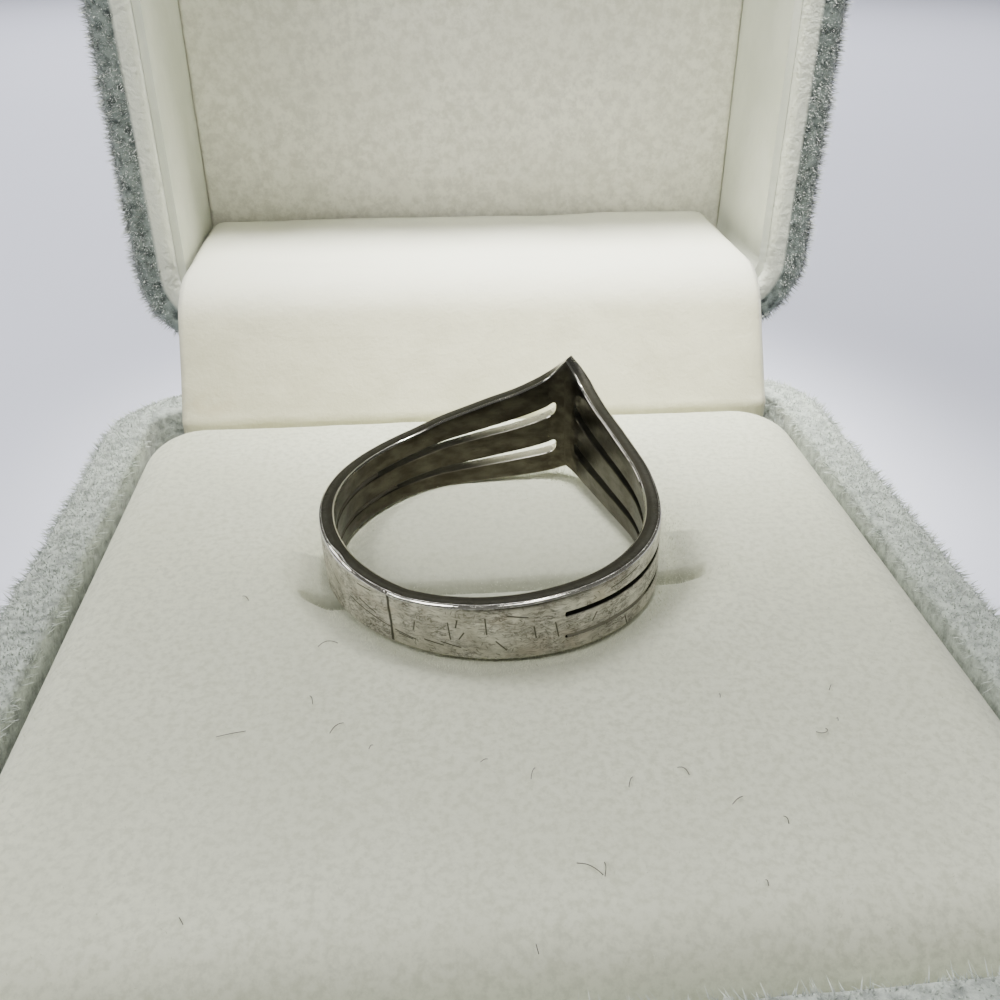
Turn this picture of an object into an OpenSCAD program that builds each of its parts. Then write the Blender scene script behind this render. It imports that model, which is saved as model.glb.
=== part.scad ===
// A silver chevron ring lying on its side on the pad of an open, hinged ring box.
// The origin is the centre of the box's underside. +X is the box's right, +Y its hinge side.

/* [Ring band] */
// Outer radius of the round back of the shank
shank_r = 10.2; // [8.5:0.1:12]
// Thickness of the metal
band_t = 0.9; // [0.7:0.05:1.3]
// Height of the band at the back of the shank
shank_h = 3.05; // [2:0.05:5]
// How far the upper edge climbs from the back of the shank to the crease
crease_rise = 5.3; // [3:0.1:8]
// How far the lower edge lifts at the crease
crease_lift = 0.85; // [0:0.05:2]
// Angle between each arm and the line through the crease
arm_angle = 51; // [44:1:60]
// Outer radius of each shoulder
shoulder_r = 8.2; // [6.5:0.1:9.5]
// Turn from the crease to where a shoulder runs into the round back
shoulder_end = 129; // [110:1:145]
// Outer radius of the crease
crease_r = 2.7; // [1.5:0.1:4]
// Size of the broken edges
band_edge = 0.14; // [0.05:0.01:0.25]

/* [Slots between the strands] */
// Solid metal left between the crease and each slot
slot_gap = 0.95; // [0.5:0.05:3]
// Length of each slot
slot_len = 20.8; // [10:0.1:23]
// Width of a slot beside the crease
slot_w_crease = 0.8; // [0.3:0.05:1]
// Width of the upper slot at its blind end in the shank
slot_w_high = 0.25; // [0.15:0.05:0.5]
// Width of the lower slot at its blind end in the shank
slot_w_low = 0.15; // [0.1:0.05:0.5]
// How soon the slots narrow away from the crease, 1 for an even taper
slot_taper = 2; // [1:0.1:3]
// Height of the lower slot, as a share of the band's height
low_slot_share = 0.27; // [0.2:0.01:0.35]
// Height of the upper slot, as a share of the band's height
high_slot_share = 0.65; // [0.6:0.01:0.78]

/* [Ring on the pad] */
// Place of the shank's centre, right of the box's centre
ring_x = 0.5; // [-4:0.1:4]
// Place of the shank's centre, behind the box's centre
ring_y = 2.6; // [-4:0.1:6]
// Turn of the crease from straight back, clockwise from above
ring_turn = 33.8; // [0:1:90]
// Tilt of the ring on the soft pad, its right side up
ring_tilt = 1.9; // [0:0.1:3]
// How far the ring's low side presses into the soft pad
ring_sink = 0.55; // [0.1:0.05:1]
// Clearance between the ring and the pad
ring_clear = 0.05; // [0.02:0.01:0.3]

/* [Box base] */
// Width of the box
box_w = 55; // [48:0.2:64]
// Depth of the box, front to back
box_d = 56.8; // [50:0.2:68]
// Height of the base to its rim
base_h = 24; // [18:0.5:32]
// Thickness of the pile-covered walls
wall_t = 3.3; // [2.5:0.1:3.6]
// Thickness of the base's floor
floor_t = 2.5; // [1.5:0.1:4]
// Outer radius of the upright corners
corner_r = 6.5; // [5.5:0.1:9]
// Radius of the rounded edges of the base and lid
edge_r = 2.5; // [1:0.1:4]
// Radius of the rounded rims
rim_r = 1; // [0.5:0.1:1.6]

/* [Pad] */
// Height of the pad's top above the rim
pad_rise = 0.8; // [0:0.1:2]
// Free strip behind the pad, where the hinge cover goes down
pad_back = 3.5; // [2.5:0.1:6]
// Roll of the pad's top edges
pad_roll = 3.2; // [2.5:0.1:3.5]
// Outer radius of the pad's upright corners
pad_corner = 4.6; // [4:0.1:7]
// Clearance round the pad
pad_clear = 0.3; // [0.2:0.05:0.5]
// Length of the ring slit across the pad
slit_len = 24; // [16:0.5:36]
// Width of the ring slit
slit_w = 0.8; // [0.4:0.1:2]
// Depth of the ring slit
slit_depth = 12; // [6:0.5:16]
// Place of the ring slit, in front of the shank's centre
slit_y = 3.3; // [1:0.1:8]

/* [Lid] */
// Height of the lid over its rim
lid_h = 17; // [15:0.5:24]
// Depth of the lid's inside, from its rim to the panel
lid_depth = 12.9; // [11:0.1:18]
// Thickness of the lid's top
lid_top_t = 2.5; // [1.5:0.1:3.5]
// Thickness of the smooth lining on the lid's walls
lining_t = 0.6; // [0.4:0.1:1.2]
// Clearance between the lining and the pad with the lid closed
lining_lift = 0.3; // [0.2:0.1:2]
// Gap between the rims with the lid closed
rim_gap = 0.2; // [0.1:0.05:0.6]
// Side play that has set the lid to the right
lid_shift = 1.3; // [0:0.1:1.6]

/* [Hinge] */
// Distance of the hinge line behind the box's back
hinge_out = 2.55; // [2.2:0.05:4]
// Distance of the hinge line below the rim
hinge_drop = 1.05; // [0.8:0.05:3]
// Radius of the hinge barrel
barrel_r = 1.6; // [1.2:0.05:1.8]
// Radius of the hinge pin
pin_r = 0.7; // [0.4:0.05:0.9]
// Clearance between the pin and the barrels
pin_clear = 0.1; // [0.05:0.01:0.2]
// Length of the lid's barrel
lid_barrel = 9.4; // [6:0.2:14]
// Length of each of the base's two barrels
base_barrel = 7; // [4:0.2:10]
// Gap between neighbouring barrels
barrel_gap = 0.3; // [0.1:0.05:0.6]
// Thickness of the hinge leaves
leaf_t = 1; // [0.6:0.1:1.5]
// Length of the hinge leaves
leaf_len = 6; // [4:0.5:9]
// Clearance between a hinge leaf and the box
leaf_clear = 0.1; // [0.05:0.01:0.3]

/* [Hinge cover] */
// Clearance between the cloth cover and the lining at each side
cover_clear = 0.3; // [0.1:0.05:1]
// Thickness of the cloth cover
cover_t = 1; // [0.6:0.1:1.5]
// Height of the cover's crest above the rim
cover_rise = 9.3; // [7:0.1:10]
// Slope of the cover's front, in degrees
cover_slope = 58; // [50:1:65]
// Radius of the cover's crest
cover_round = 6; // [4:0.5:8]
// Depth of the cover's foot below the rim
cover_foot = 4; // [2:0.5:10]

/* [Hidden] */

silver = [0.72, 0.70, 0.66];
pile = [0.66, 0.70, 0.68];
plush = [0.88, 0.88, 0.82];
card = [0.84, 0.84, 0.74];
steel = [0.60, 0.60, 0.58];

// Smallest overlap of a cut with the face that it breaks
nick = 0.01;
// Facets of a full circle: plain rounds, and the corners of the soft blocks
round_fn = 48;
corner_fn = 32;
// Opening angle of the stored lid, which the arch of the hinge cover follows
lid_open = 90;

// The band's edges from the crease to the back of the shank.
// Columns: share of the half round, share of crease_rise, share of crease_lift.
EDGES = [
    [0.000, 1.00, 1.00],
    [0.017, 0.92, 0.80],
    [0.042, 0.81, 0.55],
    [0.075, 0.71, 0.42],
    [0.125, 0.60, 0.34],
    [0.185, 0.51, 0.26],
    [0.265, 0.38, 0.14],
    [0.355, 0.23, 0.00],
    [0.475, 0.15, -0.18],
    [0.650, 0.11, -0.10],
    [1.000, 0.00, 0.00]
];
// Share of crease_lift at the lowest point of the lower edge
lowest = min([for (row = EDGES) row[2]]);

// Smooth value of column c at share u, by a cubic between rows with the slopes of their neighbours
function slope(t, c, i) =
    let (a = max(i - 1, 0), b = min(i + 1, len(t) - 1))
    (t[b][c] - t[a][c]) / (t[b][0] - t[a][0]);
function row_below(t, u, i = 0) = i >= len(t) - 2 || u < t[i + 1][0] ? i : row_below(t, u, i + 1);
function smooth(t, c, u) =
    let (
        i = row_below(t, u),
        w = t[i + 1][0] - t[i][0],
        k = (u - t[i][0]) / w,
        up = k * k * (3 - 2 * k)
    )
    t[i][c] * (1 - up) + t[i + 1][c] * up
    + w * (slope(t, c, i) * k * (1 - k) * (1 - k) - slope(t, c, i + 1) * k * k * (1 - k));

// Plan of the band: round crease, straight arm, round shoulder, round back
arm_n = 90 - arm_angle;
shoulder_c = (shank_r - shoulder_r) * [sin(shoulder_end), cos(shoulder_end)];
arm_d = (shank_r - shoulder_r) * cos(shoulder_end - arm_n) + shoulder_r;
crease_c = [0, (arm_d - crease_r) / cos(arm_n)];
function arc_len(r, turn) = r * turn * PI / 180;
crease_end = arc_len(crease_r, arm_n);
arm_end = crease_end + (shoulder_c - crease_c) * [cos(arm_n), -sin(arm_n)];
curve_end = arm_end + arc_len(shoulder_r, shoulder_end - arm_n);
half_len = curve_end + arc_len(shank_r, 180 - shoulder_end);

function heading(turn) = [sin(turn), cos(turn)];
function turn_of(len, r) = len / r * 180 / PI;
// Point of the half plan at distance s from the crease, in from the outer face by w
function half_point(s, w) =
    s < crease_end ? crease_c + (crease_r - w) * heading(turn_of(s, crease_r))
    : s < arm_end ?
        crease_c + (crease_r - w) * heading(arm_n) + (s - crease_end) * [cos(arm_n), -sin(arm_n)]
    : s < curve_end ? shoulder_c + (shoulder_r - w) * heading(arm_n + turn_of(s - arm_end, shoulder_r))
    : (shank_r - w) * heading(shoulder_end + turn_of(s - curve_end, shank_r));
// The same with the left half at negative distances
function plan_point(s, w) = let (p = half_point(abs(s), w)) [sign(s) * p[0], p[1]];

function lower_edge(s) = crease_lift * (smooth(EDGES, 2, abs(s) / half_len) - lowest);
function upper_edge(s) =
    shank_h - crease_lift * lowest + crease_rise * smooth(EDGES, 1, abs(s) / half_len);

// Stations along half of the band, close together round the ends of the slots
slot_end = slot_gap + slot_len;
tip_steps = [for (share = [0.15, 0.35, 0.7, 1.15]) share * slot_w_crease];
gap_steps = 4;
slot_steps = 36;
back_steps = 14;
tip_len = tip_steps[len(tip_steps) - 1];
long_len = slot_len - 2 * tip_len;
HALF = concat(
    [for (k = [0:gap_steps]) slot_gap * k / gap_steps],
    [for (d = tip_steps) slot_gap + d],
    [for (k = [1:slot_steps]) slot_gap + tip_len + long_len * k / slot_steps],
    [for (k = [len(tip_steps) - 2:-1:0]) slot_end - tip_steps[k]],
    [slot_end],
    [for (k = [1:back_steps]) slot_end + (half_len - slot_end) * k / back_steps]
);
last = len(HALF) - 1;
STATIONS = concat([for (k = [last:-1:1]) -HALF[k]], [for (k = [0:last - 1]) HALF[k]]);
count = len(STATIONS);

// Share of a slot's width that is left at its round ends
tip_share = 0.45;
// Half width of a slot whose blind end is end_w wide, with round ends that never quite close
function slot_half(s, end_w) =
    let (
        k = min(max((abs(s) - slot_gap) / slot_len, 0), 1),
        full = (end_w + (slot_w_crease - end_w) * pow(1 - k, slot_taper)) / 2,
        d = max(min(abs(s) - slot_gap, slot_end - abs(s)), 0)
    )
    full * (d >= full ? 1 : max(tip_share, sqrt(1 - pow(1 - d / full, 2))));
function in_slot(s) = abs(s) > slot_gap - nick && abs(s) < slot_end + nick;

// Section of the band at distance s: up the outer face, over the top, down the inner face
function at(s, w, z) = let (p = plan_point(s, w)) [p[0], p[1], z];
function section(s) =
    let (
        low = lower_edge(s),
        top = upper_edge(s),
        h1 = slot_half(s, slot_w_low),
        h2 = slot_half(s, slot_w_high),
        z1 = low + (top - low) * low_slot_share,
        z2 = low + (top - low) * high_slot_share,
        levels = [low + band_edge, z1 - h1, z1 + h1, z2 - h2, z2 + h2, top - band_edge]
    )
    concat(
        [for (z = levels) at(s, 0, z)],
        [at(s, band_edge, top), at(s, band_t - band_edge, top)],
        [for (k = [len(levels) - 1:-1:0]) at(s, band_t, levels[k])],
        [at(s, band_t - band_edge, low), at(s, band_edge, low)]
    );
sides = 16;
// The four faces of the section that a slot opens, and the pairs of corners of its walls
open_faces = [1, 3, 9, 11];
floors = [[1, 12], [3, 10]];
roofs = [[2, 11], [4, 9]];

function is_in(k, list) = len([for (v = list) if (v == k) v]) > 0;
function two(a, b, c, d) = [[a, b, c], [a, c, d]];
function vertex(i, k) = (i % count) * sides + k;
function slotted(i) =
    let (a = STATIONS[i], b = STATIONS[(i + 1) % count]) in_slot(a) && in_slot(b) && a * b > 0;

module chevron_ring() {
    points = [for (s = STATIONS) each section(s)];
    skin = [
        for (i = [0:count - 1], k = [0:sides - 1])
            let (m = (k + 1) % sides)
            if (!(slotted(i) && is_in(k, open_faces)))
                each two(vertex(i, k), vertex(i + 1, k), vertex(i + 1, m), vertex(i, m))
    ];
    slot_walls = [
        for (i = [0:count - 1])
            if (slotted(i))
                each concat(
                    [for (f = floors)
                        each two(vertex(i, f[0]), vertex(i + 1, f[0]), vertex(i + 1, f[1]), vertex(i, f[1]))],
                    [for (f = roofs)
                        each two(vertex(i, f[0]), vertex(i, f[1]), vertex(i + 1, f[1]), vertex(i + 1, f[0]))]
                )
    ];
    slot_tips = [
        for (i = [0:count - 1])
            let (before = slotted((i + count - 1) % count), here = slotted(i))
            if (before != here)
                each [for (j = [0, 1])
                    each here
                        ? two(vertex(i, floors[j][0]), vertex(i, floors[j][1]),
                              vertex(i, roofs[j][1]), vertex(i, roofs[j][0]))
                        : two(vertex(i, floors[j][0]), vertex(i, roofs[j][0]),
                              vertex(i, roofs[j][1]), vertex(i, floors[j][1]))]
    ];
    color(silver)
        on_pad()
            polyhedron(points, concat(skin, slot_walls, slot_tips), convexity = 10);
}

// Place of the ring: its lowest plane leans with it and goes under the pad's top on the low side
module on_pad() {
    translate([ring_x, ring_y, pad_top - ring_sink + shank_r * sin(ring_tilt)])
        rotate([0, -ring_tilt, 0])
            rotate([0, 0, -ring_turn])
                children();
}

// Rectangle w by d with round corners of radius r, centred
module round_rect(w, d, r) {
    square([w - 2 * r, d], center = true);
    square([w, d - 2 * r], center = true);
    for (x = [-1, 1], y = [-1, 1])
        translate([x * (w / 2 - r), y * (d / 2 - r)])
            circle(r, $fn = round_fn);
}

// Solid block with upright corners of radius r, its lower edges rounded by low_r and upper by top_r
edge_steps = 4;
module soft_block(w, d, h, r, low_r, top_r) {
    turns = [for (k = [0:edge_steps]) 90 * k / edge_steps];
    layers = concat(
        [for (t = turns) [low_r * (1 - cos(t)), low_r * (1 - sin(t))]],
        [for (t = turns) [h - top_r * (1 - cos(t)), top_r * (1 - sin(t))]]
    );
    hull()
        for (layer = layers)
            for (x = [-1, 1], y = [-1, 1])
                translate([x * (w / 2 - r), y * (d / 2 - r), min(layer[0], h - nick)])
                    cylinder(r = r - layer[1], h = nick, $fn = corner_fn);
}

inner_w = box_w - 2 * wall_t;
inner_d = box_d - 2 * wall_t;
inner_r = corner_r - wall_t;
// Clearance between the lining and the lid's walls
lining_clear = 0.05;

module base_shell() {
    color(pile)
        difference() {
            soft_block(box_w, box_d, base_h, corner_r, edge_r, rim_r);
            translate([0, 0, floor_t])
                linear_extrude(base_h)
                    round_rect(inner_w, inner_d, inner_r);
        }
}

pad_w = inner_w - 2 * pad_clear;
pad_d = inner_d - pad_back - pad_clear;
pad_y = -(pad_back - pad_clear) / 2;
pad_bottom = floor_t + pad_clear;
pad_top = base_h + pad_rise;
// Rounding of the pad's hidden lower edges
pad_under = 0.4;
// Width of the dent in the pad outside the ring's back
dent_rim = 0.6;

module ring_pad() {
    color(plush)
        difference() {
            translate([0, pad_y, pad_bottom])
                soft_block(pad_w, pad_d, pad_top - pad_bottom, pad_corner, pad_under, pad_roll);
            translate([ring_x - slit_len / 2, ring_y - slit_y - slit_w / 2, pad_top - slit_depth])
                cube([slit_len, slit_w, slit_depth + nick]);
            on_pad()
                translate([0, 0, -ring_clear])
                    cylinder(r = shank_r + dent_rim, h = shank_h, $fn = 2 * round_fn);
        }
}

// The cover runs from the base to the lid, so it lies halfway between them, and clears both
cover_w = inner_w - 2 * (lining_clear + lining_t + cover_clear) - lid_shift;
cover_shift = lid_shift / 2;
// Outline of the cover from the side: up behind the pad, over the crest, back to the lid's panel
cover_y = inner_d / 2 - pad_back + pad_clear;
cover_steps = 8;
rim_back = box_d / 2 + hinge_out + hinge_drop + rim_gap;
cover_back = rim_back + lid_depth - pad_clear;
front_rise = cover_rise - cover_round * (1 - cos(cover_slope));
crest_y = cover_y + front_rise / tan(cover_slope) + cover_round * sin(cover_slope);
crest_z = base_h + cover_rise - cover_round;
function cover_line(in) = concat(
    [[cover_y + in, base_h - cover_foot], [cover_y + in, base_h - in * tan(cover_slope / 2)]],
    [for (k = [0:cover_steps])
        let (t = cover_slope * (1 - k / cover_steps), r = cover_round - in)
        [crest_y - r * sin(t), crest_z + r * cos(t)]],
    [[cover_back, base_h + cover_rise - in]]
);

module hinge_cover() {
    outer = cover_line(0);
    inner = cover_line(cover_t);
    color(card)
        translate([cover_shift - cover_w / 2, 0, 0])
            rotate([90, 0, 90])
                linear_extrude(cover_w)
                    polygon(concat(outer, [for (k = [len(inner) - 1:-1:0]) inner[k]]));
}

hinge_y = box_d / 2 + hinge_out;
hinge_z = base_h - hinge_drop;
pin_len = lid_barrel + 2 * base_barrel + 2 * barrel_gap;

// Hinge barrel of length len along X, its left end at x
module barrel(x, len) {
    translate([x, hinge_y, hinge_z])
        rotate([0, 90, 0])
            cylinder(r = barrel_r, h = len, $fn = round_fn);
}
module pin_bore() {
    translate([-pin_len, hinge_y, hinge_z])
        rotate([0, 90, 0])
            cylinder(r = pin_r + pin_clear, h = 2 * pin_len, $fn = round_fn);
}

// Back face of both hinge leaves
leaf_y = box_d / 2 + leaf_clear;

module hinge_base_leaf() {
    below_barrel = hinge_z - barrel_r - barrel_gap;
    color(steel)
        difference() {
            union() {
                translate([-pin_len / 2, leaf_y, hinge_z - leaf_len])
                    cube([pin_len, leaf_t, below_barrel - hinge_z + leaf_len]);
                for (side = [-1, 1])
                    let (x = side * (lid_barrel / 2 + barrel_gap + base_barrel / 2) - base_barrel / 2) {
                        barrel(x, base_barrel);
                        translate([x, leaf_y, hinge_z - leaf_len])
                            cube([base_barrel, leaf_t, leaf_len]);
                        translate([x, leaf_y, hinge_z - barrel_r])
                            cube([base_barrel, hinge_y - leaf_y, barrel_r]);
                    }
            }
            pin_bore();
        }
}

module hinge_pin() {
    color(steel)
        translate([-pin_len / 2, hinge_y, hinge_z])
            rotate([0, 90, 0])
                cylinder(r = pin_r, h = pin_len, $fn = round_fn);
}

// The lid's pieces are drawn closed and swung open about the hinge line
module on_lid() {
    translate([0, hinge_y, hinge_z])
        rotate([-lid_open, 0, 0])
            translate([0, -hinge_y, -hinge_z])
                children();
}

module lid_shell() {
    color(pile)
        on_lid()
            translate([lid_shift, 0, base_h + rim_gap])
                difference() {
                    soft_block(box_w, box_d, lid_h, corner_r, rim_r, edge_r);
                    translate([0, 0, -nick])
                        linear_extrude(lid_h - lid_top_t + nick)
                            round_rect(inner_w, inner_d, inner_r);
                }
}

lining_w = inner_w - 2 * lining_clear;
lining_d = inner_d - 2 * lining_clear;
lining_r = inner_r - lining_clear;
lid_room = lid_h - lid_top_t + rim_gap;
lining_start = pad_rise + lining_lift;
module lid_lining() {
    color(card)
        on_lid()
            translate([lid_shift, 0, base_h + lining_start])
                linear_extrude(lid_room - lining_start - lining_clear)
                    difference() {
                        round_rect(lining_w, lining_d, lining_r);
                        round_rect(lining_w - 2 * lining_t, lining_d - 2 * lining_t, lining_r - lining_t);
                    }
}

panel_w = lining_w - 2 * lining_t - 2 * pad_clear;
panel_d = lining_d - 2 * lining_t - 2 * pad_clear;
module lid_panel() {
    color(plush)
        on_lid()
            translate([lid_shift, 0, base_h + rim_gap + lid_depth])
                linear_extrude(lid_room - rim_gap - lid_depth - lining_clear)
                    round_rect(panel_w, panel_d, lining_r - lining_t - pad_clear);
}

// Arm between the lid's barrel and its leaf: its step out from the leaf, and its reach up it
arm_step = 0.3;
arm_reach = 0.6;

module hinge_lid_leaf() {
    left = -lid_barrel / 2;
    color(steel)
        on_lid()
            difference() {
                union() {
                    barrel(left, lid_barrel);
                    translate([left, leaf_y, base_h + rim_gap])
                        cube([lid_barrel, leaf_t, leaf_len]);
                    translate([left, leaf_y + arm_step, hinge_z])
                        cube([lid_barrel, hinge_y - leaf_y - arm_step, hinge_drop + rim_gap + arm_reach]);
                }
                pin_bore();
            }
}

chevron_ring();
base_shell();
ring_pad();
hinge_cover();
hinge_base_leaf();
hinge_pin();
lid_shell();
lid_lining();
lid_panel();
hinge_lid_leaf();
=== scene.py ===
"""A worn silver chevron ring in its open ring box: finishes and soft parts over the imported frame."""
from math import copysign, cos, degrees, exp, hypot, pi, radians, sin, sqrt, tan

import bpy
import numpy as np
from mathutils import Euler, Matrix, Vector, noise


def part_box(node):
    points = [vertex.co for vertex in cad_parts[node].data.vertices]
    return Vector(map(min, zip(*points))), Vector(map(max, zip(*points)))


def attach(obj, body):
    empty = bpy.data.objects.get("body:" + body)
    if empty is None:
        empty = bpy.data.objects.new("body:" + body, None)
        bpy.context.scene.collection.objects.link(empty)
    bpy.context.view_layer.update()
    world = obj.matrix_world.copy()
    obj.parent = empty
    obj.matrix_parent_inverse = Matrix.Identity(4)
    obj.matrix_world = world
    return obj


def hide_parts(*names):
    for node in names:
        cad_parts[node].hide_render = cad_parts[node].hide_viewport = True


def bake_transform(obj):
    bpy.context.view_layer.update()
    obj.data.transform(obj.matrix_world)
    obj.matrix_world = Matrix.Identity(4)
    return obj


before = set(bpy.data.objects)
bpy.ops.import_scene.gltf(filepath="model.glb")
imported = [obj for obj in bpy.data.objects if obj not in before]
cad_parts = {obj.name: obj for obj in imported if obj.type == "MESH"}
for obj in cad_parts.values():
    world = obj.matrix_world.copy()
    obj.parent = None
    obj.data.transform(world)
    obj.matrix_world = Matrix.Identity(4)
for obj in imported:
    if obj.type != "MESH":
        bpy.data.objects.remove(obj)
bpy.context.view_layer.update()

# Every size below is in millimetres, and MM turns it into metres
MM = 0.001

# Ring band, as in the part's source
SHANK_R = 10.2
BAND_T = 0.9
SHANK_H = 3.05
CREASE_RISE = 5.3
CREASE_LIFT = 0.85
ARM_N = 90 - 51
SHOULDER_R = 8.2
SHOULDER_END = 129
CREASE_R = 2.7
BAND_EDGE = 0.14
SLOT_GAP = 0.95
SLOT_LEN = 20.8
SLOT_W_CREASE = 0.8
SLOT_TAPER = 2.0
# Share of the half round, share of the crease's rise, share of its lift
EDGES = (
    (0.0, 1.0, 1.0), (0.017, 0.92, 0.8), (0.042, 0.81, 0.55), (0.075, 0.71, 0.42),
    (0.125, 0.6, 0.34), (0.185, 0.51, 0.26), (0.265, 0.38, 0.14), (0.355, 0.23, 0.0),
    (0.475, 0.15, -0.18), (0.65, 0.11, -0.1), (1.0, 0.0, 0.0),
)
# Each slot's place as a share of the band's height, and the width of its blind end
SLOTS = ((0.27, 0.15), (0.65, 0.25))

# Where the upper outer corner is worn rounder: place from the back's centre, more radius, reach
WORN_AT = -5.1
WORN_MORE = 0.18
WORN_REACH = 0.8
# Extra roundness of the upper outer edge at the back, and a painted dark reflection line below that edge, set
# through the grime value
RIM_MORE = 0.06
RIM_REACH = 15.0
DARK_REFLECTION_AT = 7.0
DARK_REFLECTION_REACH = 4.5
# How far from the crease the left arm's slots are clean, over what length they turn dirty, and
# how far the wear at the crease's tip reaches
CLEAN_TO = 3.0
CLEAN_FADE = 4.5
TIP_REACH = 0.9
# Worn lips of the slots, and the unevenness of the band's edges and faces
LIP = 0.05
UNEVEN = 0.02
FACE_UNEVEN = 0.018
# Length of band between its sections
SECTION_STEP = 0.16

# Ring on the pad
RING_X = 0.5
RING_Y = 2.6
RING_TURN = 33.8
RING_TILT = 1.9
RING_SINK = 0.55

# Box, pad, lid, hinge line and hinge cover
BOX_W = 55.0
BOX_D = 56.8
BASE_H = 24.0
WALL_T = 3.3
FLOOR_T = 2.5
CORNER_R = 6.5
EDGE_R = 2.5
RIM_R = 1.0
IN_R = 0.5
PAD_TOP = BASE_H + 0.8
PAD_ROLL = 3.2
PAD_CORNER = 4.6
SLIT_LEN = 24.0
SLIT_Y = RING_Y - 3.3
LID_H = 17.0
LID_TOP_T = 2.5
LID_SHIFT = 1.3
RIM_GAP = 0.2
HINGE_Y = BOX_D / 2 + 2.55
HINGE_Z = BASE_H - 1.05
COVER_RISE = 9.3
COVER_SLOPE = 58
COVER_ROUND = 6.0
COVER_FOOT = 4.0
# Where the cover is stained, at its foot
STAIN_AT = (-20.0, 22.0, 25.2)
# How far the plush panel presses out past the solid panel at each side
PANEL_MORE = 0.31
# How far the pile goes over the rims, down the inside of the shells
PILE_OVER = 1.2
# How far the lid's lining turns over its rim
LINED = 1.2
# Seed of the noise that leans the fibres in clumps
CLUMP_SEED = 5
# How uneven the skin of the shells is
SKIN = 0.12
# Depth of the part of the lid's edge whose pile is painted dark, as painted shade on the lid's rim
SHADED_RIM_DEPTH = 0.9 * RIM_R
# Length and width of the pile's fibres, and share of the length on the flat of the rims
PILE_LEN = 0.75
PILE_W = 0.08
RIM_PILE = 0.35
# Fibres on the base, on the lid, on the lid's rim and on the pad
BASE_PILE = 190000
LID_PILE = 170000
RIM_COUNT = 18000
NAP_COUNT = 22000


def corners_mm(node):
    """Lowest and highest corner of a node of the frame, in millimetres."""
    low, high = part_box(node)
    return np.array(low) / MM, np.array(high) / MM


def rough(x, y, z=0.0, seed=0.0):
    """Smooth noise from -1 to 1."""
    return noise.noise(Vector((x + 17.3 * seed, y - 9.1 * seed, z + 3.7 * seed)))


# Meshes

def new_object(name, data):
    item = bpy.data.objects.new(name, data)
    bpy.context.scene.collection.objects.link(item)
    return item


def new_piece(name, points, faces, material, body=None):
    """A smooth mesh piece from points in millimetres."""
    mesh = bpy.data.meshes.new(name)
    mesh.from_pydata((np.asarray(points, float) * MM).tolist(), [], faces)
    mesh.validate()
    mesh.polygons.foreach_set("use_smooth", [True] * len(mesh.polygons))
    piece = new_object(name, mesh)
    mesh.materials.append(material)
    if body:
        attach(piece, body)
    return piece


def point_attribute(piece, name, values):
    layer = piece.data.attributes.new(name, "FLOAT", "POINT")
    layer.data.foreach_set("value", np.asarray(values, np.float32))


def grid_faces(rows, columns, wrap=False):
    """Quads over points laid out row by row."""
    faces = []
    last = columns if wrap else columns - 1
    for i in range(rows - 1):
        for j in range(last):
            k = (j + 1) % columns
            faces.append((i * columns + j, i * columns + k, (i + 1) * columns + k, (i + 1) * columns + j))
    return faces


# Shader nodes

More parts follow.
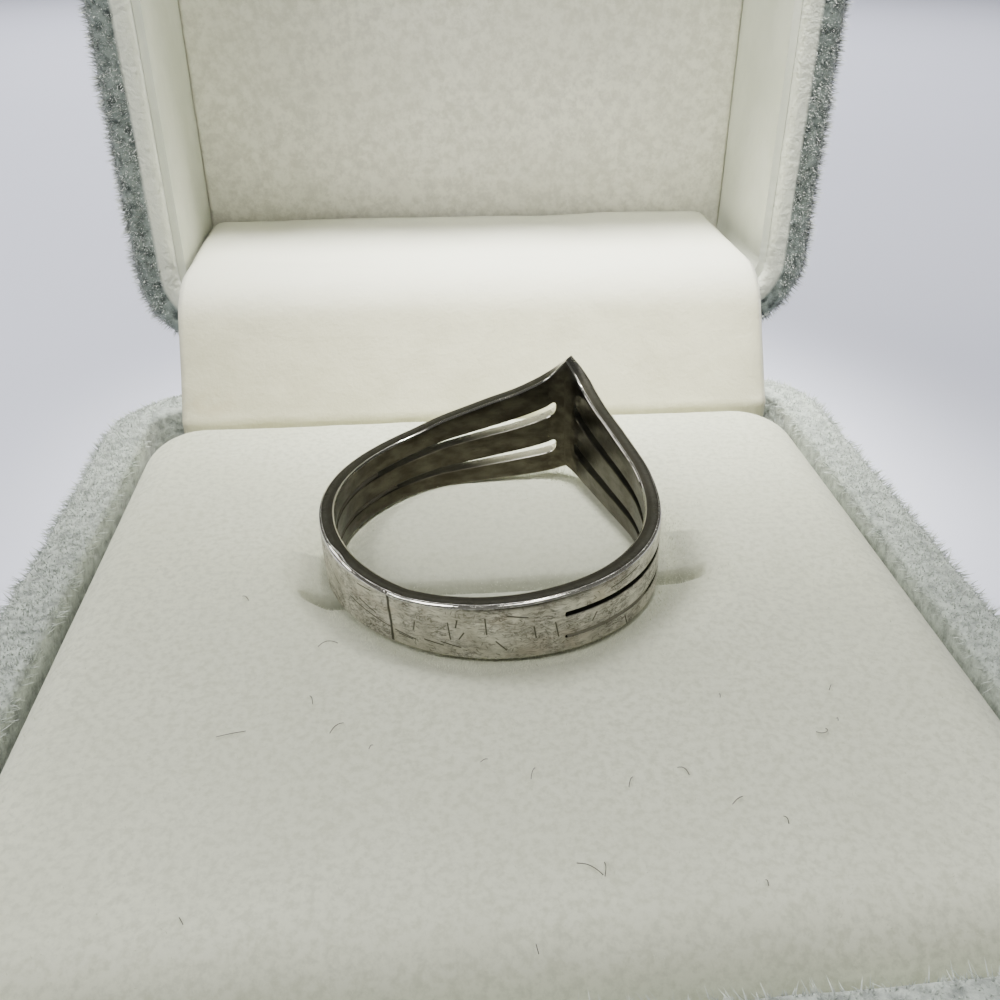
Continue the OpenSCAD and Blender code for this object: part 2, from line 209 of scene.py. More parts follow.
class Nodes:
    """Short calls for the nodes of a tree."""

    def __init__(self, tree):
        self.tree = tree

    def set(self, node, socket, value):
        """Links value where it is a socket, and sets it otherwise."""
        if isinstance(value, bpy.types.NodeSocket):
            self.tree.links.new(value, node.inputs[socket])
        else:
            node.inputs[socket].default_value = value

    def node(self, kind, inputs, **settings):
        """The outputs of a new node with these settings, and inputs that are linked or set."""
        node = self.tree.nodes.new("ShaderNode" + kind)
        for key, value in settings.items():
            setattr(node, key, value)
        for socket, value in inputs.items():
            self.set(node, socket, value)
        return node.outputs

    def place(self):
        """Place on the piece, in millimetres."""
        return self.scaled(self.node("TexCoord", {})["Object"], (1 / MM,) * 3)

    def attribute(self, name, output="Fac"):
        return self.node("Attribute", {}, attribute_name=name)[output]

    def vector(self, operation, a, b=None, output="Vector"):
        inputs = {0: a}
        if b is not None:
            inputs["Scale" if operation == "SCALE" else 1] = b
        return self.node("VectorMath", inputs, operation=operation)[output]

    def scaled(self, vector, sizes):
        return self.vector("MULTIPLY", vector, sizes)

    def math(self, operation, a, b=0.0, clamp=False):
        return self.node("Math", {0: a, 1: b}, operation=operation, use_clamp=clamp)[0]

    def times(self, a, b):
        return self.math("MULTIPLY", a, b)

    def rest(self, share):
        """What share leaves of 1."""
        return self.math("SUBTRACT", 1.0, share, clamp=True)

    def part(self, vector, axis):
        return self.node("SeparateXYZ", {"Vector": vector})[axis]

    def noise(self, vector, size, detail=2.0, rough=0.5, output="Fac"):
        """Noise whose grains are about size wide."""
        inputs = {"Vector": vector, "Scale": 1 / size, "Detail": detail, "Roughness": rough}
        return self.node("TexNoise", inputs)[output]

    def ramp(self, value, low, high, out_low=0.0, out_high=1.0):
        """value brought smoothly from low..high to out_low..out_high."""
        inputs = {"Value": value, "From Min": low, "From Max": high, "To Min": out_low, "To Max": out_high}
        return self.node("MapRange", inputs, interpolation_type="SMOOTHSTEP")[0]

    def blend(self, share, a, b):
        """Colour a, with b over it by share."""
        a, b = (c if isinstance(c, bpy.types.NodeSocket) else (*c, 1) for c in (a, b))
        return self.node("Mix", {0: share, 6: a, 7: b}, data_type="RGBA")[2]

    def bump(self, height, depth, below=None):
        """Bumps of depth millimetres for a height from 0 to 1, over the bumps below."""
        inputs = {"Height": height, "Distance": depth * MM}
        if below is not None:
            inputs["Normal"] = below
        return self.node("Bump", inputs)[0]

    def line_gap(self, point, start, end):
        """Distance from the line between start and end."""
        run = (end[0] - start[0], end[1] - start[1], 0)
        size = run[0] ** 2 + run[1] ** 2
        away = self.vector("SUBTRACT", point, (*start, 0))
        along = self.vector("DOT_PRODUCT", away, tuple(c / size for c in run), "Value")
        along = self.math("MULTIPLY", along, 1.0, clamp=True)
        nearest = self.vector("SCALE", run, along)
        return self.vector("LENGTH", self.vector("SUBTRACT", away, nearest), output="Value")

    def line(self, gap, width):
        """1 on a line, falling to 0 near half its width, for the distance from it."""
        return self.ramp(gap, 0.2 * width, 0.6 * width, 1, 0)

    def nicks(self, point, angle, cell, size, share):
        """Scattered straight nicks, turned by angle, one to a cell at most, in that share of the cells."""
        inputs = {"Vector": point, "Rotation": (0, 0, radians(angle)), "Scale": (*cell, 1)}
        turned = self.node("Mapping", inputs, vector_type="TEXTURE")[0]
        cells = self.node("TexVoronoi", {"Vector": turned, "Scale": 1}, voronoi_dimensions="2D")
        mark = self.ramp(cells["Distance"], 0.5 * size, size, 1, 0)
        draw = self.node("SeparateColor", {"Color": cells["Color"]})[0]
        return self.times(mark, self.math("LESS_THAN", draw, share))

    def creases(self, point, cell, width, detail=1.5):
        """Thin wavy lines, about as long and as far apart as a cell."""
        value = self.noise(self.scaled(point, (1 / cell[0], 1 / cell[1], 0)), 1.0, detail)
        gap = self.math("ABSOLUTE", self.math("SUBTRACT", value, 0.5))
        return self.ramp(gap, 0.2 * width, width, 1, 0)

    def pick(self, operation, values):
        """The MAXIMUM or the MINIMUM of the values."""
        value = values[0]
        for other in values[1:]:
            value = self.math(operation, value, other)
        return value


class Finish(Nodes):
    """A material with a Principled shader."""

    def __init__(self, name, roughness, metallic=0.0, sheen=0.0, specular=0.5):
        self.material = bpy.data.materials.new(name)
        self.material.use_nodes = True
        super().__init__(self.material.node_tree)
        self.shader = self.tree.nodes["Principled BSDF"]
        self.feed("Roughness", roughness)
        self.feed("Metallic", metallic)
        self.feed("Sheen Weight", sheen)
        self.feed("Specular IOR Level", specular)

    def feed(self, socket, value):
        self.set(self.shader, socket, value)


# Materials

# Long scratches on the shank: place to the right of the back's centre and height over the lower
# edge, of their start and of their end
LONG_SCRATCHES = (
    (-3.7, 1.62, -0.6, 1.1), (-2.9, 1.95, -1.7, 1.6), (-2.9, 2.88, -1.9, 2.9), (-0.4, 1.05, 0.8, 0.85),
    (-0.2, 0.9, 0.6, 0.8), (1.3, 0.99, 2.3, 0.84), (2.2, 1.04, 3.2, 0.83), (0.8, 1.95, 0.72, 1.45),
    (2.6, 2.28, 2.7, 1.28), (3.1, 2.5, 3.0, 2.05), (3.4, 1.75, 3.15, 1.35), (4.5, 2.7, 4.55, 1.75),
    (5.0, 1.3, 5.5, 0.75), (6.9, 2.05, 7.0, 1.35), (8.0, 2.1, 8.15, 1.2), (5.6, 2.85, 6.6, 2.65),
    (10.3, 2.0, 10.05, 1.55), (11.2, 3.1, 13.4, 3.35), (12.3, 0.74, 12.5, 0.1), (-6.6, 2.6, -5.0, 1.7),
)
SCRATCH_W = 0.10
# The soldered joint: distance from the back's centre, width of its line
SEAM_AT = -0.75
SEAM_W = 0.22
# Wavy lines: length and spacing of their cells, width, how much they show
WAVY = (
    ((0.7, 0.11), 0.05, 0.8), ((0.4, 0.16), 0.04, 0.8), ((0.26, 0.09), 0.035, 0.6), ((0.14, 0.22), 0.03, 0.6),
)
# Nicks: turn in degrees, length and spacing of their cells, size in their cells, share of the cells
NICKS = (
    (-7, (1.3, 0.11), 0.26, 0.30), (21, (0.8, 0.14), 0.24, 0.20),
    (82, (0.8, 0.18), 0.22, 0.18), (-50, (0.7, 0.18), 0.22, 0.16),
)
# How much the hatching, the nicks and the long scratches show
HATCHED, NICKED, SCRATCHED = 0.5, 0.6, 0.95


def silver_marks(f, band, bent, sway):
    """Dark marks of the silver's outside: wavy lines, hatching, nicks, long scratches and the joint."""
    crowd = f.ramp(f.noise(band, 2.2, 3), 0.40, 0.60, 0.3, 1.0)
    breaks = f.ramp(f.noise(f.scaled(bent, (0.7, 2.0, 1)), 0.4, 2), 0.40, 0.50)
    wavy = f.pick("MAXIMUM", [f.times(f.creases(bent, cell, width), share) for cell, width, share in WAVY])
    wavy = f.times(wavy, f.times(crowd, breaks))
    hatch = f.ramp(f.math("ABSOLUTE", f.part(band, "X")), 5.0, 8.0, 0.35, 1.0)
    fine = f.ramp(f.noise(f.scaled(bent, (0.5, 6.0, 1)), 0.25, 3, 0.65), 0.48, 0.64)
    fine = f.times(f.times(fine, f.times(crowd, hatch)), HATCHED)
    nicks = f.times(f.pick("MAXIMUM", [f.nicks(bent, *row) for row in NICKS]), NICKED)
    gap = f.pick("MINIMUM", [f.line_gap(band, row[:2], row[2:]) for row in LONG_SCRATCHES])
    joint = f.vector("ADD", band, f.scaled(sway, (0.4, 0, 0)))
    seam = f.line(f.line_gap(joint, (SEAM_AT, 3.6), (SEAM_AT + 0.15, -0.4)), SEAM_W)
    return f.pick("MAXIMUM", [wavy, fine, nicks, f.times(f.line(gap, SCRATCH_W), SCRATCHED), seam])


def silver():
    """Old silver: a scratched outside, a brown tarnished inside painted darker as a painted dark reflection,
    dirt in the hollows with a painted dark reflection line under the upper outer edge, and bright corners.
    """
    f = Finish("silver", 0.34, metallic=1.0)
    band = f.attribute("band", "Vector")
    place = f.place()
    inside = f.ramp(f.part(band, "Z"), 0.15, 0.6)
    polish, grime_and_dark_reflection = f.attribute("polish"), f.attribute("grime_and_dark_reflection")

    sway = f.vector("SUBTRACT", f.noise(band, 0.9, output="Color"), (0.5, 0.5, 0.5))
    sway = f.scaled(sway, (0.5, 0.5, 0))
    bent = f.vector("ADD", band, sway)
    marks = f.times(silver_marks(f, band, bent, sway), f.rest(inside))
    dull = f.rest(polish)

    cloud = f.ramp(f.noise(place, 1.2, 4, 0.6), 0.36, 0.66)
    pale = f.blend(cloud, (0.76, 0.735, 0.665), (0.54, 0.515, 0.455))
    stain = f.ramp(f.noise(f.scaled(place, (1, 1, 1.4)), 2.1, 4, 0.65), 0.52, 0.70)
    pale = f.blend(f.times(stain, 0.45), pale, (0.46, 0.38, 0.31))
    streaks = f.ramp(f.noise(f.scaled(band, (0.5, 1.1, 1)), 0.8, 4, 0.6), 0.30, 0.74)
    # Brown tarnish of the inside, painted darker still as a painted dark reflection of the shaded side its
    # inner faces look at.
    tarnish_and_dark_reflection = f.blend(streaks, (0.04, 0.035, 0.026), (0.085, 0.078, 0.06))
    color = f.blend(inside, pale, tarnish_and_dark_reflection)
    color = f.blend(f.times(marks, 0.9), color, (0.045, 0.042, 0.035))
    color = f.blend(f.times(polish, 0.85), color, (0.97, 0.95, 0.87))
    # The grime colour darkens the dirt in the slots and the roof, and paints the dark reflection line under
    # the upper outer edge.
    f.feed("Base Color", f.blend(grime_and_dark_reflection, color, (0.032, 0.031, 0.024)))

    brushed = f.times(f.noise(f.scaled(bent, (0.12, 1.5, 1)), 0.10, 3, 0.7), dull)
    matt = f.ramp(brushed, 0.3, 0.7, 0.27, 0.40)
    matt = f.math("ADD", matt, f.times(f.math("MAXIMUM", marks, grime_and_dark_reflection), 0.25))
    f.feed("Roughness", f.math("SUBTRACT", matt, f.times(polish, 0.22), clamp=True))

    soft = f.bump(f.noise(place, 0.9, 2), 0.03)
    scored = f.math("SUBTRACT", 1.0, f.times(marks, dull))
    f.feed("Normal", f.bump(scored, 0.02, f.bump(brushed, 0.003, soft)))
    return f.material


def pile_cloth(name, root, tip, size, depth, sheen, other=None, rim=None):
    """Short pile: clumps of size, with painted shade in the hollows between them, in the root's colour. other
    is the colour where the other attribute is 1, and rim the root's and the tip's where the rim attribute is
    1."""
    f = Finish(name, 0.95, sheen=sheen, specular=0.2)
    place = f.place()
    clumps = f.noise(place, size, 4, 0.65)
    patch = f.noise(place, 7.0, 3, 0.55)
    raised = f.ramp(clumps, 0.30, 0.62)
    # Painted shade: the hollows between the clumps take the darker root colour.
    color = f.blend(raised, root, tip)
    color = f.blend(f.ramp(patch, 0.35, 0.65, 0.0, 0.22), color, root)
    if rim:
        color = f.blend(f.attribute("rim"), color, f.blend(raised, *rim))
    if other:
        color = f.blend(f.attribute("other"), color, other)
    f.feed("Base Color", color)
    f.feed("Normal", f.bump(clumps, depth))
    return f.material


def fibre(name, root, tip):
    """Fibres painted dark at the root as painted shade deep in the pile, and pale at the tip as painted
    sheen.
    """
    f = Finish(name, 0.9, sheen=0.3, specular=0.2)
    # Painted shade at the root, painted sheen at the tip.
    f.feed("Base Color", f.blend(f.attribute("tip"), root, tip))
    return f.material


def cover_cloth():
    """Smooth cream cloth, painted paler on top as painted light, with faint clouds, slubs and a brown stain
    at its foot.
    """
    f = Finish("cover_cloth", 0.8, sheen=0.2, specular=0.3)
    place = f.place()
    cloud = f.ramp(f.noise(place, 5.0, 4, 0.6), 0.35, 0.7)
    color = f.blend(f.times(cloud, 0.8), (0.68, 0.66, 0.48), (0.60, 0.58, 0.41))
    # Painted light: the cloth turns paler towards the top of the cover.
    color = f.blend(f.ramp(f.part(place, "Z"), BASE_H + 6, BASE_H + COVER_RISE), color, (0.88, 0.88, 0.75))
    spot = f.scaled(f.vector("SUBTRACT", place, STAIN_AT), (0.4, 0.3, 1))
    near = f.ramp(f.vector("LENGTH", spot, output="Value"), 0.3, 1.3, 1, 0)
    stain = f.times(near, f.ramp(f.noise(place, 1.2, 3), 0.35, 0.65))
    color = f.blend(f.times(stain, 0.35), color, (0.50, 0.40, 0.22))
    f.feed("Base Color", color)
    slubs = f.noise(place, 0.35, 4, 0.7)
    f.feed("Normal", f.bump(f.noise(place, 2.2, 3), 0.16, f.bump(slubs, 0.06)))
    return f.material


def lining_card():
    """Smooth pale green-grey card."""
    f = Finish("lining", 0.7, specular=0.3)
    place = f.place()
    cloud = f.noise(place, 6.0, 3, 0.6)
    f.feed("Base Color", f.blend(f.ramp(cloud, 0.35, 0.65), (0.69, 0.715, 0.61), (0.76, 0.78, 0.68)))
    f.feed("Normal", f.bump(f.noise(place, 0.5, 4, 0.6), 0.03))
    return f.material


def speckled_plush():
    """Plush with soft dark and pale specks."""
    f = Finish("panel_plush", 0.9, sheen=0.3, specular=0.2)
    place = f.place()
    specks = f.noise(place, 0.8, 5, 0.7)
    color = f.blend(f.ramp(specks, 0.34, 0.64), (0.72, 0.71, 0.61), (0.92, 0.91, 0.80))
    color = f.blend(f.ramp(f.noise(place, 6.0, 3), 0.4, 0.7, 0, 0.25), color, (0.74, 0.73, 0.63))
    f.feed("Base Color", color)
    f.feed("Normal", f.bump(specks, 0.12))
    return f.material


def hinge_steel():
    """Plain pressed steel with a light grain."""
    f = Finish("hinge_steel", 0.4, metallic=1.0)
    place = f.place()
    grain = f.noise(f.scaled(place, (0.2, 2, 2)), 0.2, 3, 0.6)
    f.feed("Roughness", f.ramp(grain, 0.3, 0.7, 0.32, 0.5))
    f.feed("Base Color", f.blend(grain, (0.46, 0.46, 0.44), (0.56, 0.56, 0.54)))
    f.feed("Normal", f.bump(grain, 0.01))
    return f.material


def mottled(name, roughness, grain, dark, pale, detail=2.0, rough=0.5):
    """A plain material whose colour wanders between dark and pale."""
    f = Finish(name, roughness)
    f.feed("Base Color", f.blend(f.noise(f.place(), grain, detail, rough), dark, pale))
    return f.material


# Ring

def slope(column, i):
    """Slope of a column of the edge table at row i."""
    a, b = max(i - 1, 0), min(i + 1, len(EDGES) - 1)
    return (EDGES[b][column] - EDGES[a][column]) / (EDGES[b][0] - EDGES[a][0])


def edge_share(column, u):
    """Smooth value of a column of the edge table at share u of the half round."""
    i = 0
    while i < len(EDGES) - 2 and u >= EDGES[i + 1][0]:
        i += 1
    w = EDGES[i + 1][0] - EDGES[i][0]
    k = (u - EDGES[i][0]) / w
    up = k * k * (3 - 2 * k)
    bend = slope(column, i) * k * (1 - k) ** 2 - slope(column, i + 1) * k * k * (1 - k)
    return EDGES[i][column] * (1 - up) + EDGES[i + 1][column] * up + w * bend


def heading(turn):
    """Way in the plan at turn degrees from the crease."""
    a = radians(turn)
    return np.array((sin(a), cos(a)))


# Plan of the band: round crease, straight arm, round shoulder, round back
SHOULDER_C = (SHANK_R - SHOULDER_R) * heading(SHOULDER_END)
ARM_D = (SHANK_R - SHOULDER_R) * cos(radians(SHOULDER_END - ARM_N)) + SHOULDER_R
CREASE_C = np.array((0, (ARM_D - CREASE_R) / cos(radians(ARM_N))))
ARM_WAY = np.array((cos(radians(ARM_N)), -sin(radians(ARM_N))))
CREASE_END = CREASE_R * radians(ARM_N)
ARM_END = CREASE_END + float((SHOULDER_C - CREASE_C) @ ARM_WAY)
CURVE_END = ARM_END + SHOULDER_R * radians(SHOULDER_END - ARM_N)
HALF_LEN = CURVE_END + SHANK_R * radians(180 - SHOULDER_END)
SLOT_END = SLOT_GAP + SLOT_LEN
LOWEST = min(row[2] for row in EDGES)


def plan_point(s, w):
    """Point of the plan at distance s from the crease, in from the outer face by w."""
    a = abs(s)
    if a < CREASE_END:
        p = CREASE_C + (CREASE_R - w) * heading(degrees(a / CREASE_R))
    elif a < ARM_END:
        p = CREASE_C + (CREASE_R - w) * heading(ARM_N) + (a - CREASE_END) * ARM_WAY
    elif a < CURVE_END:
        p = SHOULDER_C + (SHOULDER_R - w) * heading(ARM_N + degrees((a - ARM_END) / SHOULDER_R))
    else:
        p = (SHANK_R - w) * heading(SHOULDER_END + degrees((a - CURVE_END) / SHANK_R))
    return (copysign(p[0], s) if s else 0.0), p[1]


def slot_half(s, end_w):
    """Half width at s of a slot whose blind end is end_w wide, or none outside it."""
    inside = min(abs(s) - SLOT_GAP, SLOT_END - abs(s))
    if inside <= 0:
        return 0.0
    k = (abs(s) - SLOT_GAP) / SLOT_LEN
    full = (end_w + (SLOT_W_CREASE - end_w) * (1 - k) ** SLOT_TAPER) / 2
    full *= 1 + 0.10 * rough(s / 1.4, 0, seed=2)
    return full * (1 if inside >= full else sqrt(1 - (1 - inside / full) ** 2))


def band_rims(s):
    """Heights of the band's lower and upper edge at s."""
    u = abs(s) / HALF_LEN
    top = SHANK_H - CREASE_LIFT * LOWEST + CREASE_RISE * edge_share(1, u)
    return CREASE_LIFT * (edge_share(2, u) - LOWEST), top


def sag(s):
    """How far the slots wander up and down."""
    return UNEVEN * rough(s / 2.0, 0, seed=5)


def stations():
    """Distances from the crease along the band, close together at the ends of the slots."""
    tips = [0.0, 0.01, 0.03, 0.07, 0.13, 0.2, 0.3]
    body = SLOT_LEN - 2 * tips[-1]
    gap = np.linspace(0, SLOT_GAP, 7)[:-1]
    run = np.linspace(0, body, int(body / SECTION_STEP))[1:-1] + SLOT_GAP + tips[-1]
    back = np.linspace(SLOT_END, HALF_LEN, int((HALF_LEN - SLOT_END) / SECTION_STEP))[1:]
    half = [*gap, *(SLOT_GAP + t for t in tips), *run, *(SLOT_END - t for t in tips[::-1]), *back]
    return [-s for s in half[:0:-1]] + half[:-1]


def band_section(s):
    """Points (w, z, polish, grime) round the band at s, and the places of its faces in them."""
    low, top = band_rims(s)
    low += UNEVEN * rough(s / 2.5, 0, seed=3)
    top += UNEVEN * rough(s / 2.1, 0, seed=4)
    halves = [slot_half(s, end_w) for _, end_w in SLOTS]
    lips = [min(LIP, 0.6 * half) for half in halves]
    middles = [low + (top - low) * share + sag(s) for share, _ in SLOTS]
    flats, ends = [], low + BAND_EDGE
    for m, half, lip in zip(middles, halves, lips):
        flats.append((ends, m - half - lip))
        ends = m + half + lip
    back = copysign(HALF_LEN, s) - s
    rim = exp(-(back / RIM_REACH) ** 2)
    worn = BAND_EDGE + RIM_MORE * rim + WORN_MORE * exp(-((back - WORN_AT) / WORN_REACH) ** 2)
    flats.append((ends, top - worn))

    dirt = 1.0 if s > 0 else min(1.0, max(0.0, (abs(s) - CLEAN_TO) / CLEAN_FADE))
    tip = exp(-(s / TIP_REACH) ** 2)

    def side(depth, sign, seed):
        """One face from the bottom up; sign leads into the metal."""
        points = []
        for i, (a, b) in enumerate(flats):
            points += [[depth, a + (b - a) * k / 5, 0.0, 0.0] for k in range(6)]
            if i < 2:
                for edge in (middles[i] - halves[i], middles[i] + halves[i]):
                    points.append([depth + sign * lips[i], edge, 0.6 * (1 - dirt), dirt])
        for p in points:
            p[0] += sign * FACE_UNEVEN * rough(s / 1.9, p[1] / 1.3, seed=seed)
        return points

    outer, inner = side(0.0, 1, 6), side(BAND_T, -1, 7)
    # Painted dark reflection: the grime value darkens a line under the upper outer edge at the back.
    line = exp(-((back - DARK_REFLECTION_AT) / DARK_REFLECTION_REACH) ** 2)
    outer[-1][3], outer[-2][3] = line, 0.2 * line
    corner = [(sin(radians(t)), cos(radians(t))) for t in (22.5, 45, 67.5)]
    e = BAND_EDGE
    top_out = [[worn - worn * c, top - worn + worn * n, 1.0, 0.0] for n, c in corner]
    top_in = [[BAND_T - e + e * c, top - e + e * n, 0.6, 0.0] for n, c in corner[::-1]]
    low_in = [[BAND_T - e + e * c, low + e - e * n, 0.2, 0.0] for n, c in corner]
    low_out = [[e - e * c, low + e - e * n, 0.5, 0.0] for n, c in corner[::-1]]
    roof = [[worn + (BAND_T - e - worn) * k / 3, top, 0.5 * tip, (1.0 - 0.07 * k) * (1 - 0.8 * tip)]
            for k in range(4)]
    under = [[BAND_T - e - (BAND_T - 2 * e) * k / 3, low, 0.0, 0.5] for k in range(4)]
    ring = outer + top_out + roof + top_in + inner[::-1] + low_in + under + low_out
    return ring, len(outer), len(outer) + len(top_out) + len(roof) + len(top_in)


def on_pad(points):
    """Points of the ring's own frame, laid on the pad."""
    tilt, spin = Euler((0, radians(-RING_TILT), 0)), Euler((0, 0, radians(-RING_TURN)))
    turn = tilt.to_matrix() @ spin.to_matrix()
    lift = PAD_TOP - RING_SINK + SHANK_R * sin(radians(RING_TILT))
    return np.asarray(points) @ np.array(turn).T + np.array((RING_X, RING_Y, lift))


def chevron_ring(material):
    """The ring as one mesh: its sections joined all round, open at the slots."""
    steps = stations()
    sections = [band_section(s) for s in steps]
    size, face_len, inner_at = len(sections[0][0]), sections[0][1], sections[0][2]
    rows = []
    for s, (ring, _, _) in zip(steps, sections):
        rows += [(*plan_point(s, w), z, w, bright, dirt_and_dark_reflection) for w, z, bright, dirt_and_dark_reflection in ring]
    # Corners of the two slots on the outer face, and the same on the inner face
    outer = [(6, 7), (14, 15)]
    inner = [(inner_at + face_len - 1 - a, inner_at + face_len - 1 - b) for a, b in outer]

    def slotted(i):
        a, b = steps[i % len(steps)], steps[(i + 1) % len(steps)]
        return a * b > 0 and SLOT_GAP < abs(a + b) / 2 < SLOT_END

    faces = []
    for i in range(len(steps)):
        here, there = i * size, (i + 1) % len(steps) * size
        now, before = slotted(i), slotted(i - 1)
        openings = {a for a, _ in outer} | {b for _, b in inner} if now else set()
        for k in range(size):
            m = (k + 1) % size
            if k not in openings:
                faces.append((here + k, there + k, there + m, here + m))
        for (a, b), (c, d) in zip(outer, inner):
            if now:
                faces.append((here + a, there + a, there + c, here + c))
                faces.append((here + b, here + d, there + d, there + b))
            if now and not before:
                faces.append((here + a, here + c, here + d, here + b))
            if before and not now:
                faces.append((here + a, here + b, here + d, here + c))
    points = on_pad([row[:3] for row in rows])
    piece = new_piece("worn_silver_ring", points, faces, material, "base")
    mesh = piece.data
    layer = mesh.attributes.new("band", "FLOAT_VECTOR", "CORNER")
    last, flat = len(steps) - 1, []
    for face in faces:
        closing = any(v // size == last for v in face)
        for v in face:
            s = steps[v // size]
            if closing and v < size:
                s = steps[last] + 2 * HALF_LEN / len(steps)
            flat += (copysign(HALF_LEN, s) - s, *rows[v][2:4])
    layer.data.foreach_set("vector", flat)
    point_attribute(piece, "polish", [row[4] for row in rows])
    point_attribute(piece, "grime_and_dark_reflection", [row[5] for row in rows])
    mesh.set_sharp_from_angle(angle=radians(40))
    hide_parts("chevron_ring")
    return piece


# Dirt in the slots' thin ends: side, slot, from where to where from the blind end, and how deep it
# lies in the outer and in the inner face
RIGHT_FILL = ((1, 0, 0.15, 6.6, 0.03, 0.10),)
LEFT_FILLS = ((-1, 0, 0.1, 9.5, 0.05, 0.03), (-1, 1, 0.1, 8.0, 0.05, 0.03))
FILL_STEPS = 60


def slot_dirt(name, material, fills):
    points, faces = [], []
    for side, slot, first, last, outside, inside in fills:
        share, end_w = SLOTS[slot]
        start = len(points)
        for k in range(FILL_STEPS + 1):
            s = side * (SLOT_END - first - (last - first) * k / FILL_STEPS)
            low, top = band_rims(s)
            middle = low + (top - low) * share + sag(s)
            half = slot_half(s, end_w) + 0.03
            uneven = UNEVEN * rough(s / 0.5, 0, seed=8) + 0.4 * max(0, k / FILL_STEPS - 0.8)
            out, back = outside + uneven, BAND_T - inside - uneven
            below, above = middle - half, middle + half
            for w, z in ((out, below), (out, above), (back, above), (back, below)):
                points.append((*plan_point(s, w), z))
        for k in range(FILL_STEPS):
            a, b = start + 4 * k, start + 4 * k + 4
            faces += [(a + c, a + (c + 1) % 4, b + (c + 1) % 4, b + c) for c in range(4)]
        faces += [(start, start + 3, start + 2, start + 1), tuple(range(len(points) - 4, len(points)))]
    return new_piece(name, on_pad(points), faces, material, "base")


# Soft blocks

def box_outline(inset, corner_steps=10, side_steps=24):
    """Points round the box, moved in by inset."""
    r = CORNER_R - inset
    bx, by = BOX_W / 2 - CORNER_R, BOX_D / 2 - CORNER_R
    centres = ((bx, by), (-bx, by), (-bx, -by), (bx, -by))
    points = []
    for quarter, (cx, cy) in enumerate(centres):
        nx, ny = centres[(quarter + 1) % 4]
        first = radians(90 * quarter)
        last = first + radians(90)
        for k in range(corner_steps + 1):
            a = first + radians(90) * k / corner_steps
            points.append((cx + r * cos(a), cy + r * sin(a)))
        start = (cx + r * cos(last), cy + r * sin(last))
        end = (nx + r * cos(last), ny + r * sin(last))
        for k in range(1, side_steps):
            f = k / side_steps
            points.append((start[0] + (end[0] - start[0]) * f, start[1] + (end[1] - start[1]) * f))
    return points


def roll(radius, top, start, end, steps=5):
    """Profile points (inset, z) round an edge whose turn starts and ends at the given degrees."""
    points = []
    for k in range(steps + 1):
        a = radians(start + (end - start) * k / steps)
        points.append((radius * (1 - cos(a)), top + radius * sin(a)))
    return points


def shell_profile(height, floor):
    """Profile (inset, z) of a shell: from its underside out, up, over the rim and down inside."""
    under = [(6.0, 0.0)] + roll(EDGE_R, EDGE_R, -90, 0)
    outside = [(0.0, EDGE_R + (height - EDGE_R - RIM_R) * k / 6) for k in range(1, 6)]
    rim = roll(RIM_R, height - RIM_R, 0, 90)
    rim += [(RIM_R + (WALL_T - IN_R - RIM_R) * k / 6, height) for k in range(1, 6)]
    inner = [(WALL_T - x, z) for x, z in roll(IN_R, height - IN_R, 90, 0, 3)]
    inside = [(WALL_T, height - IN_R + (floor - height + IN_R) * k / 6) for k in range(1, 7)]
    return under + outside + rim + inner + inside


def on_lid(points):
    """Points of a shell drawn with its rim up: turned over, closed on the base and swung open."""
    x, y, z = -points[:, 0], points[:, 1], BASE_H + RIM_GAP + LID_H - points[:, 2]
    return np.column_stack((x + LID_SHIFT, HINGE_Y + z - HINGE_Z, HINGE_Z - y + HINGE_Y))


def shell(name, height, floor, material, body, seed, place=np.array, lined=0.0):
    """A box half with an uneven skin, moved by place. The lining turns over its rim by lined."""
    profile = shell_profile(height, floor)
    points = [(x, y, z) for inset, z in profile for x, y in box_outline(min(inset, CORNER_R - 0.3))]
    columns = len(points) // len(profile)
    faces = grid_faces(len(profile), columns, wrap=True)
    faces.append(tuple(range(columns - 1, -1, -1)))
    faces.append(tuple(range(len(points) - columns, len(points))))
    piece = new_piece(name, place(np.array(points)), faces, material, body)
    for i, vertex in enumerate(piece.data.vertices):
        x, y, z = points[i]
        if profile[i // columns][0] > WALL_T - lined:
            continue
        push = SKIN * rough(x / 4, y / 4, z / 4, seed) + 0.05 * rough(x / 1.1, y / 1.1, z / 1.1, seed)
        vertex.co += vertex.normal * (push - SKIN) * MM
    over = [float(inset > WALL_T - lined and z > height - 1) for inset, z in profile]
    point_attribute(piece, "other", np.repeat(over, columns))
    rim = [float(z > height - SHADED_RIM_DEPTH) for _, z in profile]
    point_attribute(piece, "rim", np.repeat(rim, columns))
    return piece


